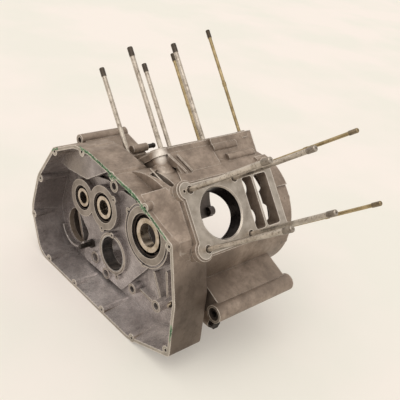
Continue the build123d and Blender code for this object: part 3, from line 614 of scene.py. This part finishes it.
def flake_tree():
    """Scraped flakes of gasket scattered on thin strips."""
    tree, given, keys = new_node_tree("gasket_flakes", (
        ("Flakes", "NodeSocketFloat"), ("Size", "NodeSocketFloat"), ("Seed", "NodeSocketInt"),
        ("Paper", "NodeSocketMaterial")))
    spots = add(tree, "GeometryNodeDistributePointsOnFaces", {"Mesh": given.outputs["Geometry"],
                                                              "Density": given.outputs["Flakes"],
                                                              "Seed": given.outputs["Seed"]})
    flake = add(tree, "GeometryNodeMeshCircle", {"Vertices": 6, "Radius": given.outputs["Size"]},
                fill_type="NGON")
    thick = add(tree, "GeometryNodeExtrudeMesh", {"Mesh": flake.outputs["Mesh"], "Offset Scale": 0.25 * MM,
                                                  "Individual": False})
    closed = add(tree, "GeometryNodeFlipFaces", {"Mesh": flake.outputs["Mesh"]})
    body = add(tree, "GeometryNodeJoinGeometry", {"Geometry": thick.outputs["Mesh"]})
    tree.links.new(closed.outputs[0], body.inputs[0])
    spin = add(tree, "FunctionNodeRandomValue", {"Min": (0.0, 0.0, 0.0), "Max": (0.0, 0.0, 6.28),
                                                 "Seed": given.outputs["Seed"]}, data_type="FLOAT_VECTOR")
    grown = add(tree, "FunctionNodeRandomValue", {"Min": (0.3, 0.2, 1.0), "Max": (1.6, 1.0, 1.0),
                                                  "Seed": given.outputs["Seed"]}, data_type="FLOAT_VECTOR")
    aim = add(tree, "FunctionNodeRotateRotation", {"Rotation": spots.outputs["Rotation"],
                                                   "Rotate By": spin.outputs["Value"]},
              rotation_space="LOCAL")
    placed = add(tree, "GeometryNodeInstanceOnPoints",
                 {"Points": spots.outputs["Points"], "Instance": body.outputs[0],
                  "Rotation": aim.outputs[0], "Scale": grown.outputs["Value"]})
    real = add(tree, "GeometryNodeRealizeInstances", {"Geometry": placed.outputs[0]})
    finish = add(tree, "GeometryNodeSetMaterial",
                 {"Geometry": real.outputs[0], "Material": given.outputs["Paper"]})
    add(tree, "NodeGroupOutput", {"Geometry": finish.outputs[0]})
    return tree, keys


# Torn gasket on the clutch rim: flakes where the CAD part's remains lie, and on strips beside them.
# Each strip: two ends in Y and Z, and its width, in millimetres
FLAKE_STRIPS = [
    ((170, 111.0), (130, 111.5), 3.0),
    ((128, 110.5), (62, 104.5), 4.2),
    ((56, 104.0), (-26, 90.5), 4.2),
    ((-30, 89.0), (-98, 62.0), 3.6),
    ((74, 102.5), (56, 101.0), 8.0),
    ((-20, 88.0), (-38, 83.5), 6.0),
    ((-145, -92), (-146.5, -120), 3.0),
]
flakes = merged_copy("gasket_remains", "gasket_flakes")
work = bmesh.new()
work.from_mesh(flakes.data)
bmesh.ops.delete(work, geom=[face for face in work.faces if face.normal.x > -FACING], context="FACES")
for vert in work.verts:
    vert.co.x = COVER_FACE
for (y1, z1), (y2, z2), width in FLAKE_STRIPS:
    first, last = Vector((COVER_FACE / MM, y1, z1)), Vector((COVER_FACE / MM, y2, z2))
    aside = (last - first).normalized().cross(Vector((1, 0, 0))) * width
    if aside.dot(CLUTCH_MIDDLE / MM - first) < 0:
        aside = -aside
    corners = (first, last, last + aside, first + aside)
    face = work.faces.new([work.verts.new(corner * MM) for corner in corners])
    face.normal_update()
    if face.normal.x > 0:
        face.normal_flip()
work.to_mesh(flakes.data)
work.free()
flake_nodes, flake_keys = flake_tree()
grow(flakes, flake_nodes, flake_keys,
     {"Flakes": 420000.0, "Size": 1.15 * MM, "Seed": 4, "Paper": gasket_paper})
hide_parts("gasket_remains")
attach(flakes, "case")


def lathe(name, origin, axis, profile, material, turns=64):
    """A closed ring of revolution. The profile is distance along the axis and radius, in millimetres."""
    side = axis.orthogonal().normalized()
    work = bmesh.new()
    rings = []
    for step in range(turns):
        spoke = Matrix.Rotation(2 * math.pi * step / turns, 3, axis) @ side
        rings.append([work.verts.new((origin + axis * along + spoke * radius) * MM)
                      for along, radius in profile])
    for one, two in zip(rings, rings[1:] + rings[:1]):
        for low in range(len(profile)):
            high = (low + 1) % len(profile)
            work.faces.new((one[low], one[high], two[high], two[low]))
    bmesh.ops.remove_doubles(work, verts=work.verts, dist=1e-6)
    bmesh.ops.recalc_face_normals(work, faces=work.faces)
    mesh = bpy.data.meshes.new(name)
    work.to_mesh(mesh)
    work.free()
    mesh.materials.append(material)
    piece = bpy.data.objects.new(name, mesh)
    bpy.context.scene.collection.objects.link(piece)
    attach(piece, "case")


# Blind cast pocket behind the gear opening in the cavity floor
POCKET_PROFILE = [(24, 38.2), (48, 38.2), (52, 34), (52, 0.0), (55, 0.0), (55, 36), (50, 41.5), (33, 41.5),
                  (31.5, 44), (31.5, 38.2)]
# The pocket takes the chamber's casting, darkened as oil and painted shade
lathe("gear_pocket", Vector((0, 243, -120)), Vector((1, 0, 0)), POCKET_PROFILE, chamber_oil_and_shade)
# Foot of the stud boss, run out into the saddle below it
FOOT_PROFILE = [(-16, 0.0), (8, 0.0), (8, 17.0), (3, 17.6), (-6, 19.0), (-12, 22.0), (-16, 22.0)]
lathe("stud_boss_foot", Vector((42, 31.3, 113.0)), REAR_AXIS, FOOT_PROFILE, cast_outside)

# CAD nodes whose shape is right get their finish
FINISHES = {
    "idler_bush": honed,
    "shift_stop_pin": dark_steel,
    "oil_jet": race_steel,
    "front_mount_bush_left": dark_steel,
    "front_mount_bush_right": dark_steel,
    "hose_union": dark_steel,
    "gallery_plug_1": dark_steel,
    "gallery_plug_2": dark_steel,
    "drain_plug": dark_steel,
}
for shaft in ("main", "input", "output"):
    FINISHES[f"{shaft}_bearing_inner_ring"] = race_steel
    FINISHES[f"{shaft}_bearing_outer_ring"] = dark_race
for bank in BANKS:
    for number in (1, 2, 3, 4):
        FINISHES[f"{bank}_main_stud_{number}"] = stud_steel
    for number in (1, 2):
        FINISHES[f"{bank}_side_stud_{number}"] = yellow_zinc
for name, material in FINISHES.items():
    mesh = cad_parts[name].data
    mesh.materials.clear()
    mesh.materials.append(material)

# Pale floor
bpy.ops.mesh.primitive_plane_add(size=24, location=(0, 0, SUMP))
floor = bpy.context.object
floor.name = "floor"
floor_material, floor_tree, floor_shader = new_material("pale_sweep")
# The eye and the reflections see the floor lifted towards white, while its light on the object stays plain
seen = seen_rays(floor_tree)
# Faint clouds about 0.5 m across, between a pinkish and a greenish white
cloud = add(floor_tree, "ShaderNodeTexNoise",
            {"Vector": add(floor_tree, "ShaderNodeTexCoord").outputs["Object"],
             "Scale": 2.0, "Detail": 3.0})
share = add(floor_tree, "ShaderNodeMapRange",
            {"Value": cloud.outputs["Fac"], "From Min": 0.4, "From Max": 0.6})
tint = add(floor_tree, "ShaderNodeMix", {0: share.outputs[0], 6: linear("#d8d1cb"), 7: linear("#cfcec5")},
           data_type="RGBA")
floor_colour = add(floor_tree, "ShaderNodeMix", {0: seen, 6: linear("#f6f2ec"), 7: tint.outputs[2]},
                   data_type="RGBA")
floor_tree.links.new(floor_colour.outputs[2], floor_shader.inputs["Base Color"])
floor_lift = add(floor_tree, "ShaderNodeMapRange", {"Value": seen, "To Max": 0.28})
floor_shader.inputs["Emission Color"].default_value = linear("#fdf6ee")
floor_tree.links.new(floor_lift.outputs[0], floor_shader.inputs["Emission Strength"])
floor_shader.inputs["Roughness"].default_value = 0.9
floor_shader.inputs["Specular IOR Level"].default_value = 0.1
floor.data.materials.append(floor_material)

# Soft room light from all round
world = bpy.data.worlds.new("room")
bpy.context.scene.world = world
world.use_nodes = True
room = world.node_tree
room.nodes.clear()
strength = add(room, "ShaderNodeMapRange", {"Value": seen_rays(room), "To Min": 0.62, "To Max": 0.95})
sky = add(room, "ShaderNodeBackground", {"Color": linear("#fdf7f0"), "Strength": strength.outputs[0]})
add(room, "ShaderNodeOutputWorld", {"Surface": sky.outputs[0]})

# Broad even light from above and in front, as wide as a ceiling
ceiling = bpy.data.lights.new("ceiling_light", "SUN")
ceiling.energy = 1.3
ceiling.angle = math.radians(66)
ceiling.color = linear("#fffaf4")[:3]
ceiling_holder = bpy.data.objects.new("ceiling_light", ceiling)
bpy.context.scene.collection.objects.link(ceiling_holder)
ceiling_holder.rotation_euler = Vector((0.34, 0.06, -1.0)).to_track_quat("-Z", "Y").to_euler()

# Camera, fitted to the photograph's straight edges
LENS = 58.44
camera_data = bpy.data.cameras.new("camera")
camera_data.lens = LENS
camera_data.sensor_width = 36
camera_data.clip_start = 0.01
camera = bpy.data.objects.new("camera", camera_data)
bpy.context.scene.collection.objects.link(camera)
right = Vector((0.7363, -0.6569, 0.1626))
down = Vector((-0.2134, -0.4534, -0.8654))
forward = Vector((0.6422, 0.6024, -0.4740))
camera.matrix_world = Matrix((
    (right.x, -down.x, -forward.x, -0.670),
    (right.y, -down.y, -forward.y, -0.740),
    (right.z, -down.z, -forward.z, 0.627),
    (0, 0, 0, 1),
))
bpy.context.scene.camera = camera
bpy.context.scene.view_settings.view_transform = "Standard"
